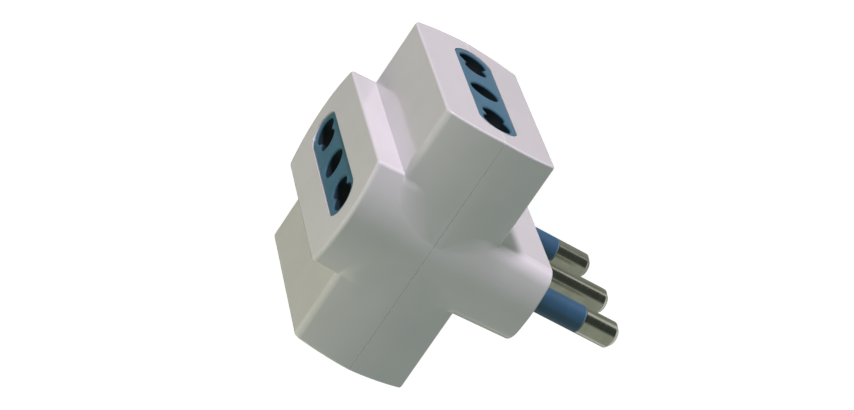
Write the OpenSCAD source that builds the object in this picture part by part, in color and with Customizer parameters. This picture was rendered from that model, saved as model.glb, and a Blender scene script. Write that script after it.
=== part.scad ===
// Triple socket adapter.
// A cross-shaped housing in two shells carries an in-line three-pin plug at the back
// and three three-hole sockets: one on the front block and one at the end of each arm.
// +Y is the plug's axis, with the pins pointing away from the housing. The row of pins
// and of socket holes runs along Z, and the arms lie along X. The origin is the point
// where the middle pin leaves the plug face.

/* [Housing] */
// Length over both arms, at the seam
arm_span = 48.6; // [47:0.1:52]
// Depth of the arms from the seam to their front faces
arm_front_depth = 10.9; // [10:0.1:12]
// Depth of the arms from the seam to their rear faces
arm_rear_depth = 10.6; // [10.2:0.1:12]
// Height over the crests of the front block and the neck
crest_height = 42.7; // [41.9:0.1:46]
// Step from the crest of the block and the neck down to the arms' crest
crest_step = 0.15; // [0.05:0.05:0.3]
// Radius of the crown across the arms
arm_crown_r = 28; // [25:0.5:60]
// Width of the front block at its socket face
block_width = 21; // [18:0.1:24]
// Distance that the front block stands out from the arms
block_proud = 4.9; // [4:0.1:6]
// Radius of the crown across the front block
block_crown_r = 22.5; // [20:0.5:60]
// Width of the neck at the plug face
neck_width = 14.8; // [14.2:0.1:17]
// Distance that the neck stands out from the arms
neck_length = 11.1; // [9:0.1:13]
// Radius of the crown across the neck
neck_crown_r = 21; // [19:0.5:60]
// Radius of the neck's long corners
neck_corner_r = 3.4; // [2:0.1:3.6]
// Draft of every side wall, in degrees
draft = 2; // [1:0.1:2.5]
// Wall thickness of both shells
wall = 1.8; // [1.5:0.1:2.1]
// Radius of the arms' long front edges, along their crowned faces
arm_edge_r = 1.1; // [0.6:0.1:1.6]
// Radius of the arms' long rear edges and of the edges round the plug face
rear_edge_r = 0.4; // [0.2:0.1:0.8]
// Radius of the edges round the arms' end faces and beside the front socket
end_edge_r = 0.4; // [0.2:0.1:0.6]
// Radius of the front block's other edges, and of the edges inside both shells
face_edge_r = 0.8; // [0.4:0.1:1.4]
// Width of the small bevel on both sides of the seam
seam_bevel = 0.1; // [0.05:0.05:0.3]
// Height of the lip that locates one shell in the other
lip_height = 1.2; // [0.6:0.1:1.8]

/* [Pins] */
// Diameter of the plug's pins
pin_d = 5; // [4.8:0.05:5.2]
// Length of the two outer pins beyond the plug face
pin_length = 19; // [18:0.1:19.4]
// Extra length of the middle pin
earth_extra = 0.9; // [0:0.1:1.2]
// Distance from the middle pin to an outer pin
pin_pitch = 13; // [12.8:0.05:13.2]
// Rounding of the pins' tips
tip_r = 1.1; // [0.5:0.1:1.8]
// Length of the insulating sleeves beyond the plug face
sleeve_length = 11.6; // [8:0.1:14]
// Wall thickness of the insulating sleeves
sleeve_wall = 0.5; // [0.4:0.05:0.7]
// Radial step of the seat that a pin or sleeve has in the plug face's wall
seat_relief = 0.2; // [0.16:0.02:0.3]
// Diameter of the collar that holds a pin behind the plug face
collar_d = 7.4; // [6.6:0.1:8]
// Thickness of that collar
collar_t = 1.2; // [0.8:0.1:1.6]
// Thickness of the plug face's wall
plug_wall = 2.6; // [2:0.1:3.2]
// Diameter of a pin's riveted tail
tail_d = 2.8; // [2.2:0.1:3.2]

/* [Sockets] */
// Diameter of the small pins that the inner holes take
small_pin_d = 4; // [3.8:0.05:4.1]
// Distance from the middle hole to an inner hole
small_pitch = 9.5; // [9.4:0.05:9.7]
// Radial play of an outer or inner hole round its pin
hole_play = 0.15; // [0.1:0.01:0.25]
// Radial play of the middle hole round its pin
earth_play = 0.25; // [0.1:0.01:0.35]
// Width of the bevel round each hole's mouth
hole_bevel = 0.3; // [0.1:0.05:0.4]
// Width of the insert that shows in the socket face
insert_width = 7.4; // [6.8:0.1:7.8]
// Depth that the insert lies below the socket face
insert_recess = 0.2; // [0:0.05:0.5]
// Width of the flange beyond the insert's face, all round
flange_lip = 1.4; // [1:0.1:1.7]
// Thickness of the flange
flange_t = 1.5; // [1.2:0.1:1.8]
// Depth of the wells that lead a pin to its contact
well_depth = 9.5; // [8:0.1:10.5]
// Wall thickness of the wells
well_wall = 1; // [0.8:0.05:1.1]

/* [Contacts] */
// Thickness of the contact clips' strip
clip_t = 0.6; // [0.4:0.05:0.7]
// Gap between a clip's cheek and the pin that it takes
clip_play = 0.1; // [0.05:0.01:0.2]
// Distance from the well's end to a clip's mouth
clip_gap = 0.5; // [0.3:0.1:1]
// Gap between a side clip's end and the cheek of the front clip
centre_gap = 2.9; // [2.7:0.1:3.3]
// Thickness of the busbars
bus_t = 1; // [0.8:0.1:1.2]
// Width of the busbars
bus_width = 5; // [4.4:0.1:5.2]
// Diameter of the eyelets that fix the side clips
eyelet_d = 2; // [1.6:0.1:2.2]
// Height of the eyelets' and pin tails' heads
head_h = 0.7; // [0.5:0.05:0.8]

/* [Fasteners] */
// Thread diameter of the two housing screws
screw_d = 2.2; // [2:0.1:2.4]
// Diameter of the screws' heads
screw_head_d = 4; // [3.6:0.1:4.2]
// Height of the screws' heads
screw_head_h = 1.3; // [1:0.1:1.5]
// Length of the screws below the head
screw_length = 16; // [13:0.5:17]
// Gap between the end of a side socket's wells and a screw's tower
screw_gap = 1.8; // [1.4:0.1:2]

/* [Fits] */
// Clearance between plastic pieces that slide together
fit = 0.1; // [0.05:0.01:0.15]

/* [Hidden] */

// Colours
shell_colour = "whitesmoke";
insulation_colour = "steelblue";
brass_colour = "darkkhaki";
nickel_colour = "lightslategray";

// Smoothness of round pieces, of the small corners inside a hull, and of a crown
round_fn = 64;
corner_fn = 32;
crown_steps = 8;
slice_t = 0.01;

// Places along the plug's axis
seam_y = -neck_length - arm_rear_depth;
arm_rear_y = -neck_length;
arm_front_y = seam_y - arm_front_depth;
front_y = arm_front_y - block_proud;
collar_y = -plug_wall - collar_t;

// Height of the arms' crest above the middle plane
arm_crest = crest_height / 2 - crest_step;

// Radii of the pins, the holes and the clips' insides
pin_r = pin_d / 2;
small_pin_r = small_pin_d / 2;
hole_r = pin_r + hole_play;
small_hole_r = small_pin_r + hole_play;
earth_hole_r = pin_r + earth_play;
clip_r = pin_r + clip_play;
small_clip_r = small_pin_r + clip_play;

// Depths below a socket face
plate_depth = wall + fit + (insert_width / 2 + flange_lip) * tan(draft);
flange_depth = plate_depth + flange_t;
clip_depth = well_depth + clip_gap;
pin_reach = pin_length + earth_extra;
side_clip_end = arm_span / 2 - clip_r - clip_t - centre_gap;

// The busbars lie behind whatever reaches deepest: a pin in the front socket, which
// ends short of the riveted tail, or the side clips with an eyelet's head behind them
tail_gap = 0.3;
bus_front_y = max(front_y + pin_reach + tail_gap + head_h + clip_t,
    seam_y + clip_r + clip_t + tail_gap + head_h + clip_t);
bus_rear_y = bus_front_y + bus_t;
foot_offset = bus_front_y - seam_y;

// Insulating partitions lie between the middle wells and the inner wells
partition_low = earth_hole_r + well_wall + fit;
partition_high = small_pitch - small_hole_r - well_wall - fit;
partition_z = (partition_low + partition_high) / 2;
partition_t = 1.6;
clip_low = partition_high + 1.3;

partition_end = arm_span / 2 - flange_depth - fit;

// Eyelets stand just outside the side clips' legs. A pad beyond each eyelet's head
// backs the end of its busbar.
earth_half = 2;
flare = 0.6;
flare_length = 1.4;
eyelet_head_r = eyelet_d / 2 + 0.6;
eyelet_x = arm_span / 2 - side_clip_end + clip_t + eyelet_head_r + 0.1;
pad_r = 1;
pad_x = eyelet_x + eyelet_head_r + 0.2 + pad_r;
bus_length = 2 * (pad_x + pad_r);

// Seat of a pin in the plug face's wall, turned down by more than a fit
seat_r = pin_r - seat_relief;

// Screw towers stand in the partitions, clear of the side sockets' wells. The tongues
// that hold the front insert end short of them.
tower_r = screw_d / 2 + 0.9;
pilot_r = screw_d / 2 - 0.25;
screw_seat_y = arm_rear_y - screw_head_h - 0.3;
screw_x = arm_span / 2 - well_depth - screw_gap - tower_r;
tongue_half = screw_x - tower_r - 4;

// Slice of a rounded rectangle in the XZ plane, centred at the height y
module slice(y, half_x, half_z, r) {
    for (i = [-1, 1], k = [-1, 1])
        translate([i * (half_x - r), y, k * (half_z - r)])
            rotate([90, 0, 0])
                cylinder(h = slice_t, r = r, center = true, $fn = corner_fn);
}

// Middle of a slice at the distance t from the seam, kept within the whole length.
// A hollow starts a little before the seam, so that it cuts right through it.
function slice_at(dir, t, length, inset) =
    seam_y + dir * (t <= 0 && inset > 0 ? -0.5 : min(max(t, slice_t / 2), length - slice_t / 2));

// Distance that an edge of radius r takes off at t, on a piece of the given length
function edge_cut(t, length, r) =
    t <= length - r ? 0 : r - sqrt(max(0, r * r - (t - length + r) * (t - length + r)));

// Bevel at the seam, which only an outer surface has
function bevel_cut(t, inset) = inset == 0 && t == 0 ? seam_bevel : 0;

// Stations along a piece on which edges of two radii end
function edge_stations(length, r1, r2) =
    [for (r = [r1, r2], a = [0 : 30 : 90]) length - r * (1 - sin(a))];

// One half of the arms: from the seam it runs towards dir and loses height with the
// crown and length with the draft. inset offsets every face inwards.
module arms(dir, depth, inset) {
    length = depth - inset;
    outer_r = dir > 0 ? rear_edge_r : arm_edge_r;
    long_r = inset == 0 ? outer_r : face_edge_r;
    end_r = inset == 0 ? end_edge_r : face_edge_r;
    crown = [for (i = [0 : crown_steps]) seam_bevel + (length - long_r - seam_bevel) * i / crown_steps];
    hull()
        for (t = concat([0], crown, edge_stations(length, long_r, end_r))) {
            in = inset + bevel_cut(t, inset);
            slice(slice_at(dir, t, length, inset),
                arm_span / 2 - in - edge_cut(t, length, end_r) - t * tan(draft),
                arm_crest - in - edge_cut(t, length, long_r) - t * t / (2 * arm_crown_r), end_r);
        }
}

// Cross-section of the block or the neck: flat sides and crowned ends
module crowned_section(half_x, half_z, crown_r, corner_r) {
    xs = [for (i = [-crown_steps : crown_steps]) half_x * i / crown_steps];
    offset(r = corner_r, $fn = corner_fn)
        offset(delta = -corner_r)
            polygon(concat(
                [for (x = xs) [x, half_z - x * x / (2 * crown_r)]],
                [for (x = xs) [-x, x * x / (2 * crown_r) - half_z]]));
}

// The block or the neck: a drafted prism from the seam to its end face at end_y. The
// edges of the end face have the radius crest_r below the crowns and side_r beside the
// flat sides.
module limb(dir, end_y, width, crown_r, corner_r, crest_r, side_r, inset) {
    length = abs(end_y - seam_y) - inset;
    hull()
        for (t = concat([0, seam_bevel], edge_stations(length, crest_r, side_r))) {
            in = inset + bevel_cut(t, inset);
            translate([0, slice_at(dir, t, length, inset), 0])
                rotate([90, 0, 0])
                    linear_extrude(slice_t, center = true)
                        crowned_section(
                            width / 2 + (length - t) * tan(draft) - in - edge_cut(t, length, side_r),
                            crest_height / 2 - in - edge_cut(t, length, crest_r), crown_r, corner_r);
        }
}

// Slot with round ends in the XZ plane, from depth y0 to depth y1, in a socket's frame
module stadium(half_width, y0, y1) {
    translate([0, y1, 0])
        rotate([90, 0, 0])
            linear_extrude(y1 - y0) {
                for (s = [-1, 1])
                    translate([0, s * pin_pitch])
                        circle(r = half_width, $fn = round_fn);
                square([2 * half_width, 2 * pin_pitch], center = true);
            }
}

// Straight round rod along Y, from y0 to y1
module rod(r, y0, y1) {
    translate([0, y0, 0])
        rotate([-90, 0, 0])
            cylinder(h = y1 - y0, r = r, $fn = round_fn);
}

// Sockets have a frame of their own: the face at y = 0 and depth along +y
module at_front() {
    translate([0, front_y, 0]) children();
}

module at_right() {
    translate([-arm_span / 2, seam_y, 0]) rotate([0, 0, -90]) children();
}

module at_left() {
    mirror([1, 0, 0]) at_right() children();
}

// Window that a socket's insert fills
module window() {
    stadium(insert_width / 2 + fit, -1, wall + 1);
}

// Insulating partitions of one shell, from y0 to y1, between x0 and x1 on both arms
module partitions(x0, x1, y0, y1) {
    for (i = [-1, 1], k = [-1, 1])
        translate([i > 0 ? x0 : -x1, y0, k * partition_z - partition_t / 2])
            cube([x1 - x0, y1 - y0, partition_t]);
}

// The two screws stand diagonally
module at_screws() {
    for (i = [-1, 1])
        translate([i * screw_x, 0, i * partition_z]) children();
}

module front_shell() {
    color(shell_colour)
    difference() {
        union() {
            difference() {
                union() {
                    arms(-1, arm_front_depth, 0);
                    limb(-1, front_y, block_width, block_crown_r, face_edge_r, face_edge_r,
                        end_edge_r, 0);
                }
                arms(-1, arm_front_depth, wall);
                limb(-1, front_y, block_width, block_crown_r, face_edge_r, face_edge_r,
                    face_edge_r, wall);
            }
            // the lip that enters the rear shell
            translate([0, seam_y - 1, 0])
                difference() {
                    lip_ring(wall / 2 + fit / 2, lip_height + 1);
                    translate([0, -1, 0]) lip_ring(wall, lip_height + 3);
                }
            intersection() {
                partitions(tongue_half + 1, partition_end, arm_front_y + wall / 2, seam_y - fit);
                arms(-1, arm_front_depth, wall / 2);
            }
            at_screws() rod(tower_r, arm_front_y + wall / 2, seam_y - fit);
        }
        at_front() window();
        at_right() window();
        at_left() window();
        at_screws() rod(pilot_r, screw_seat_y - screw_length - 1, seam_y);
    }
}

// Filled rounded rectangle at the seam, inset from the arms' outline
module lip_ring(inset, height) {
    half_x = arm_span / 2 - inset;
    half_z = arm_crest - inset;
    translate([0, height, 0])
        rotate([90, 0, 0])
            linear_extrude(height) {
                for (i = [-1, 1], k = [-1, 1])
                    translate([i * (half_x - arm_edge_r), k * (half_z - arm_edge_r)])
                        circle(r = arm_edge_r, $fn = corner_fn);
                square([2 * half_x, 2 * (half_z - arm_edge_r)], center = true);
                square([2 * (half_x - arm_edge_r), 2 * half_z], center = true);
            }
}

// Pads behind the busbars' ends
module bus_pads() {
    for (i = [-1, 1], z = [-pin_pitch, 0, pin_pitch])
        translate([i * pad_x, 0, z])
            rod(pad_r, bus_rear_y, arm_rear_y - wall / 2);
}

module rear_shell() {
    color(shell_colour)
    difference() {
        union() {
            difference() {
                union() {
                    arms(1, arm_rear_depth, 0);
                    limb(1, 0, neck_width, neck_crown_r, neck_corner_r, rear_edge_r, rear_edge_r, 0);
                }
                arms(1, arm_rear_depth, wall);
                neck_cavity();
                // the rebate that takes the front shell's lip
                translate([0, seam_y - 1, 0])
                    lip_ring(wall / 2 - fit / 2, lip_height + fit + 1);
            }
            partitions(-0.1, partition_end, seam_y + fit, arm_rear_y - wall / 2);
            // tongues that hold the front insert in its window
            for (k = [-1, 1])
                translate([-tongue_half, front_y + flange_depth + fit, k * partition_z - partition_t / 2])
                    cube([2 * tongue_half, seam_y + 1 - front_y - flange_depth - fit, partition_t]);
            at_screws() rod(tower_r, seam_y + fit, arm_rear_y - wall / 2);
            bus_pads();
        }
        at_right() window();
        at_left() window();
        for (z = [-pin_pitch, 0, pin_pitch])
            translate([0, 0, z]) rod(pin_r + fit / 2, -plug_wall - 1, 1);
        at_screws() {
            rod(screw_d / 2 + fit, seam_y - 1, arm_rear_y);
            rod(screw_head_d / 2 + 0.3, screw_seat_y, arm_rear_y + 1);
        }
    }
}

// Hollow of the neck, from beyond the lip's rebate to the plug face's wall
module neck_cavity() {
    length = -seam_y - plug_wall;
    hull()
        for (t = [lip_height + fit + 1, length])
            translate([0, slice_at(1, t, length, wall), 0])
                rotate([90, 0, 0])
                    linear_extrude(slice_t, center = true)
                        crowned_section(neck_width / 2 - wall + (length - t) * tan(draft),
                            crest_height / 2 - wall, neck_crown_r, neck_corner_r - wall / 2);
}

// Block pressed into the neck behind the pins' collars
module pin_carrier() {
    half_x = neck_width / 2 - wall - fit;
    color(shell_colour)
    difference() {
        translate([0, collar_y - fit, 0])
            rotate([90, 0, 0])
                linear_extrude(neck_length - plug_wall - collar_t)
                    crowned_section(half_x, crest_height / 2 - wall - fit, neck_crown_r, neck_corner_r);
        for (z = [-pin_pitch, 0, pin_pitch])
            translate([0, 0, z]) rod(pin_r + fit / 2, -neck_length - 2, 0);
        // pockets that lighten the block between the pins
        for (z = [-pin_pitch / 2, pin_pitch / 2])
            translate([0, -neck_length - 2, z])
                translate([-half_x + wall, 0, -2])
                    cube([2 * (half_x - wall), neck_length - plug_wall - collar_t, 4]);
    }
}

// Insert of one socket, in the socket's frame
module insert() {
    color(insulation_colour)
    difference() {
        union() {
            stadium(insert_width / 2, insert_recess, plate_depth + flange_t / 2);
            stadium(insert_width / 2 + flange_lip, plate_depth, flange_depth);
            for (s = [-1, 1]) {
                translate([0, 0, s * pin_pitch]) rod(hole_r + well_wall, plate_depth, well_depth);
                translate([0, 0, s * small_pitch]) rod(small_hole_r + well_wall, plate_depth, well_depth);
            }
            rod(earth_hole_r + well_wall, plate_depth, well_depth);
        }
        for (s = [-1, 1]) {
            translate([0, 0, s * pin_pitch]) hole(hole_r);
            translate([0, 0, s * small_pitch]) hole(small_hole_r);
        }
        hole(earth_hole_r);
    }
}

// A hole with a bevelled mouth
module hole(r) {
    rod(r, insert_recess - 1, well_depth + 1);
    translate([0, insert_recess, 0])
        rotate([-90, 0, 0])
            translate([0, 0, -0.1])
                cylinder(h = hole_bevel + 0.1, r1 = r + hole_bevel + 0.1, r2 = r, $fn = round_fn);
}

module front_insert() { at_front() insert(); }
module left_insert() { at_left() insert(); }
module right_insert() { at_right() insert(); }

// Turned pin: a round tip, a thinner stretch of radius neck_r up to the height seat, a
// collar, and a tail that is riveted over the front clip
module turned_pin(length, neck_r, seat) {
    color(nickel_colour)
    rotate([-90, 0, 0])
        rotate_extrude($fn = round_fn) {
            translate([0, seat]) square([pin_r, length - tip_r - seat]);
            translate([0, length - tip_r - 0.01]) square([pin_r - tip_r, tip_r + 0.01]);
            intersection() {
                translate([pin_r - tip_r, length - tip_r]) circle(r = tip_r, $fn = round_fn);
                square([pin_r, length]);
            }
            translate([0, collar_y]) square([neck_r, seat - collar_y + 0.01]);
            translate([0, collar_y]) square([collar_d / 2, collar_t]);
            translate([0, bus_rear_y]) square([pin_r, collar_y - bus_rear_y + 0.01]);
            translate([0, bus_front_y - clip_t - head_h])
                square([tail_d / 2, bus_t + clip_t + head_h + 0.01]);
            translate([0, bus_front_y - clip_t - head_h]) square([tail_d / 2 + 0.7, head_h]);
        }
}

module sleeved_pin() { turned_pin(pin_length, pin_r - sleeve_wall, sleeve_length); }
module live_pin() { translate([0, 0, -pin_pitch]) sleeved_pin(); }
module neutral_pin() { translate([0, 0, pin_pitch]) sleeved_pin(); }
module earth_pin() { turned_pin(pin_length + earth_extra, seat_r, 0); }

// Insulating sleeve, flush with its pin, which runs through the plug face's wall
module sleeve() {
    color(insulation_colour)
    difference() {
        union() {
            rod(seat_r, -plug_wall, 1);
            rod(pin_r, 0, sleeve_length);
        }
        rod(pin_r - sleeve_wall, -plug_wall - 1, sleeve_length + 1);
    }
}

module live_sleeve() { translate([0, 0, -pin_pitch]) sleeve(); }
module neutral_sleeve() { translate([0, 0, pin_pitch]) sleeve(); }

// Busbar of one pole at the height z, punched for the pin's tail and two eyelets
module busbar(z) {
    color(brass_colour)
    difference() {
        translate([-bus_length / 2, bus_front_y, z - bus_width / 2])
            cube([bus_length, bus_t, bus_width]);
        translate([0, 0, z]) rod(tail_d / 2, bus_front_y - 1, bus_rear_y + 1);
        for (i = [-1, 1])
            translate([i * eyelet_x, 0, z]) rod(eyelet_d / 2, bus_front_y - 1, bus_rear_y + 1);
    }
}

module live_busbar() { busbar(-pin_pitch); }
module neutral_busbar() { busbar(pin_pitch); }
module earth_busbar() { busbar(0); }

// Cross-section of a clip that takes either outer pin: two stepped cheeks and a web
module line_profile(grow) {
    translate([0, pin_pitch]) circle(r = clip_r + grow, $fn = round_fn);
    translate([-clip_r - grow, (pin_pitch + small_pitch) / 2 - grow])
        square([2 * (clip_r + grow), (pin_pitch - small_pitch) / 2 + grow]);
    translate([-small_clip_r - grow, clip_low])
        square([2 * (small_clip_r + grow), pin_pitch - clip_low]);
}

// Cross-section of the middle pin's clip
module earth_profile(grow) {
    translate([-clip_r - grow, -earth_half]) square([2 * (clip_r + grow), earth_half + clip_r + grow]);
}

// Clip body along the socket's depth, from y0 to y1
module clip_walls(y0, y1, earth) {
    translate([0, y1, 0])
        rotate([90, 0, 0])
            linear_extrude(y1 - y0)
                difference() {
                    if (earth) earth_profile(clip_t);
                    else line_profile(clip_t);
                    if (earth) translate([0, -0.1]) earth_profile(0);
                    else union() {
                        line_profile(0);
                        translate([-small_clip_r, clip_low - 1]) square([2 * small_clip_r, 2]);
                    }
                }
}

// Lips that open outwards at a clip's mouth. They run a little way into its cheeks.
module flares(z0, z1) {
    root = clip_depth + flare_length;
    for (i = [0, 1])
        mirror([i, 0, 0])
            translate([0, 0, z0])
                linear_extrude(z1 - z0)
                    polygon([[clip_r, root + clip_t], [clip_r, root],
                        [clip_r + flare, clip_depth],
                        [clip_r + flare + clip_t, clip_depth],
                        [clip_r + clip_t, root], [clip_r + clip_t, root + clip_t]]);
}

// Clip of the front socket: its web lies on the busbar, under the pin's riveted tail
module front_clip(earth) {
    end = bus_front_y - front_y;
    z0 = earth ? -earth_half : (pin_pitch + small_pitch) / 2;
    z1 = earth ? earth_half : pin_pitch;
    color(brass_colour)
    difference() {
        union() {
            clip_walls(clip_depth + flare_length, end, earth);
            flares(z0, z1);
            translate([0, end, 0])
                rotate([90, 0, 0])
                    linear_extrude(clip_t)
                        if (earth) earth_profile(clip_t);
                        else line_profile(clip_t);
        }
        translate([0, 0, earth ? 0 : pin_pitch]) rod(tail_d / 2, end - clip_t - 1, end + 1);
    }
}

// Clip of a side socket: its rear cheek runs on, turns back and lies on the busbar
module side_clip(earth) {
    z0 = earth ? -earth_half : (pin_pitch + small_pitch) / 2;
    z1 = earth ? earth_half : pin_pitch + earth_half;
    centre = earth ? 0 : pin_pitch;
    foot_end = side_clip_end - 5;
    color(brass_colour)
    difference() {
        union() {
            clip_walls(clip_depth + flare_length, side_clip_end - clip_t, earth);
            flares(z0, min(z1, pin_pitch));
            // rear cheek's end, the leg and the foot
            translate([0, 0, z0])
                linear_extrude(z1 - z0) {
                    translate([-clip_r - clip_t, side_clip_end - 2 * clip_t])
                        square([clip_t, 2 * clip_t]);
                    translate([-foot_offset, side_clip_end - clip_t])
                        square([foot_offset - clip_r, clip_t]);
                    translate([-foot_offset, foot_end])
                        square([clip_t, side_clip_end - foot_end]);
                }
        }
        translate([-foot_offset, arm_span / 2 - eyelet_x, centre])
            rotate([0, 90, 0])
                cylinder(h = 4 * clip_t, r = eyelet_d / 2, center = true, $fn = round_fn);
    }
}

// Outer poles mirror each other about the middle one
module pole(sign) {
    mirror([0, 0, sign < 0 ? 1 : 0]) children();
}

module live_front_clip() { at_front() pole(-1) front_clip(false); }
module neutral_front_clip() { at_front() pole(1) front_clip(false); }
module earth_front_clip() { at_front() front_clip(true); }
module live_left_clip() { at_left() pole(-1) side_clip(false); }
module neutral_left_clip() { at_left() pole(1) side_clip(false); }
module earth_left_clip() { at_left() pole(-1) side_clip(true); }
module live_right_clip() { at_right() pole(-1) side_clip(false); }
module neutral_right_clip() { at_right() pole(1) side_clip(false); }
module earth_right_clip() { at_right() side_clip(true); }

// Eyelet that rivets a side clip's foot to the busbar
module eyelet(x, z) {
    color(nickel_colour)
    translate([x, 0, z])
        difference() {
            union() {
                rod(eyelet_d / 2, bus_front_y - clip_t - head_h / 2, bus_rear_y + head_h / 2);
                rod(eyelet_head_r, bus_front_y - clip_t - head_h, bus_front_y - clip_t);
                rod(eyelet_head_r, bus_rear_y, bus_rear_y + head_h);
            }
            rod(eyelet_d / 4, bus_front_y - clip_t - head_h - 1, bus_rear_y + head_h + 1);
        }
}

module live_left_eyelet() { eyelet(eyelet_x, -pin_pitch); }
module neutral_left_eyelet() { eyelet(eyelet_x, pin_pitch); }
module earth_left_eyelet() { eyelet(eyelet_x, 0); }
module live_right_eyelet() { eyelet(-eyelet_x, -pin_pitch); }
module neutral_right_eyelet() { eyelet(-eyelet_x, pin_pitch); }
module earth_right_eyelet() { eyelet(-eyelet_x, 0); }

// Self-tapping screw with a cross recess
module screw() {
    color(nickel_colour)
    difference() {
        union() {
            rod(pilot_r, screw_seat_y - screw_length, screw_seat_y + 0.1);
            rod(screw_head_d / 2, screw_seat_y, screw_seat_y + screw_head_h);
        }
        translate([0, screw_seat_y + screw_head_h, 0]) {
            cube([screw_d, screw_head_h, 0.5], center = true);
            cube([0.5, screw_head_h, screw_d], center = true);
        }
    }
}

module left_screw() { translate([screw_x, 0, partition_z]) screw(); }
module right_screw() { translate([-screw_x, 0, -partition_z]) screw(); }

front_shell();
rear_shell();
pin_carrier();
front_insert();
left_insert();
right_insert();
live_pin();
neutral_pin();
earth_pin();
live_sleeve();
neutral_sleeve();
live_busbar();
neutral_busbar();
earth_busbar();
live_front_clip();
neutral_front_clip();
earth_front_clip();
live_left_clip();
neutral_left_clip();
earth_left_clip();
live_right_clip();
neutral_right_clip();
earth_right_clip();
live_left_eyelet();
neutral_left_eyelet();
earth_left_eyelet();
live_right_eyelet();
neutral_right_eyelet();
earth_right_eyelet();
left_screw();
right_screw();
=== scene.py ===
"""Looks of a cross-shaped triple socket adapter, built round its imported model.

The housing's two covers, the socket inserts, the pins, the sleeves, the rivets and the
screws are modelled here with smooth surfaces. The contact strips and the pin carrier keep
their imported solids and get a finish. Lengths are in millimetres while a piece is built, and
each finished mesh is turned into metres.
"""

from __future__ import annotations

import logging
import math
from dataclasses import dataclass
from enum import Enum
from typing import Any, Iterable, Optional, Sequence, Union

import bmesh
import bpy
from mathutils import Matrix, Vector

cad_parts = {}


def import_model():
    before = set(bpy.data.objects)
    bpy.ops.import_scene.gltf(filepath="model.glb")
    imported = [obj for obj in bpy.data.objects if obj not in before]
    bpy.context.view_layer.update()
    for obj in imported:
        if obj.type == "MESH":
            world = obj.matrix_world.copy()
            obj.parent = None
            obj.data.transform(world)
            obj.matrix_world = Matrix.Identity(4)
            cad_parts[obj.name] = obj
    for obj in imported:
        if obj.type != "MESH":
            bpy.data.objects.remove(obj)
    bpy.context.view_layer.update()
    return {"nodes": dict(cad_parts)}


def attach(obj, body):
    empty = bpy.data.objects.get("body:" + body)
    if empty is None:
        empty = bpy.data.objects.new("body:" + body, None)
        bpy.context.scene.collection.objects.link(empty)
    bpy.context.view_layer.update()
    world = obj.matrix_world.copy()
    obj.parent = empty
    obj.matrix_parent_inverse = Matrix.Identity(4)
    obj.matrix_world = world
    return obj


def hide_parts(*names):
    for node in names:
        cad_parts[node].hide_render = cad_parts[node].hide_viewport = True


log = logging.getLogger("adapter")

Colour = tuple[float, float, float]
Point = tuple[float, float, float]
Pair = tuple[float, float]
Number = Union[int, float]

MM = 0.001
BODY = "root"
POLES = ("live", "neutral", "earth")
WHITE: Colour = (1.0, 1.0, 1.0)
# How far a cutter reaches past what it cuts, in millimetres
OVER = 1.0
# Points that are nearer than this are merged, in millimetres
MERGE_DISTANCE = 1e-5
# A point with a smaller radius lies on the axis, in millimetres
ON_AXIS = 1e-9
# Share that keeps a soft valley from closing on itself
TINY = 1e-6
# Steps round a hole, and round a rivet or screw
HOLE_STEPS = 72
FASTENER_STEPS = 48
# Place of the middle point of a small rounded edge, as a share of the edge's width
ROUND_SHARE = 0.3
# Weight of a face's size in its corners' normals, in percent
FACE_WEIGHT = 60


class Cut(Enum):
    """Ways to combine two closed solids."""

    JOIN = "UNION"
    REMOVE = "DIFFERENCE"


class Towards(Enum):
    """Side of the seam on which a cover lies, as the sign of its direction along Y."""

    SOCKET = -1
    PLUG = 1


class Station(Enum):
    """Place of a socket on the housing."""

    FRONT = "front"
    LEFT = "left"
    RIGHT = "right"


# Shader graphs


class Signal:
    """A shader socket that takes part in Python arithmetic."""

    def __init__(self, graph: "Graph", socket: bpy.types.NodeSocket) -> None:
        """Keep the socket and its graph.

        Args:
            graph: Graph that owns the socket.
            socket: Output socket that carries the value.
        """
        self.graph = graph
        self.socket = socket

    def _math(self, operation: str, first: Any, second: Any) -> "Signal":
        """Return the result of a two-sided Math node."""
        node = self.graph.add("ShaderNodeMath", {"operation": operation}, {0: first, 1: second})
        return Signal(self.graph, node.outputs[0])

    def __add__(self, other: Union["Signal", Number]) -> "Signal":
        """Return self + other."""
        return self._math("ADD", self, other)

    __radd__ = __add__

    def __sub__(self, other: Union["Signal", Number]) -> "Signal":
        """Return self - other."""
        return self._math("SUBTRACT", self, other)

    def __rsub__(self, other: Number) -> "Signal":
        """Return other - self."""
        return self._math("SUBTRACT", other, self)

    def __mul__(self, other: Union["Signal", Number]) -> "Signal":
        """Return self * other."""
        return self._math("MULTIPLY", self, other)

    __rmul__ = __mul__

    def lower(self, other: Union["Signal", Number]) -> "Signal":
        """Return the lower of two values."""
        return self._math("MINIMUM", self, other)

    def size(self) -> "Signal":
        """Return the value without its sign."""
        return self._math("ABSOLUTE", self, 0.0)

    def ramp(self, low: float, high: float) -> "Signal":
        """Return the value mapped smoothly to 0 at low and to 1 at high.

        Args:
            low: Value that becomes 0.
            high: Value that becomes 1.

        Returns:
            A signal that stays between 0 and 1.
        """
        node = self.graph.add(
            "ShaderNodeMapRange",
            {"interpolation_type": "SMOOTHSTEP", "clamp": True},
            {"Value": self, "From Min": low, "From Max": high, "To Min": 0.0, "To Max": 1.0},
        )
        return Signal(self.graph, node.outputs[0])


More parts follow.
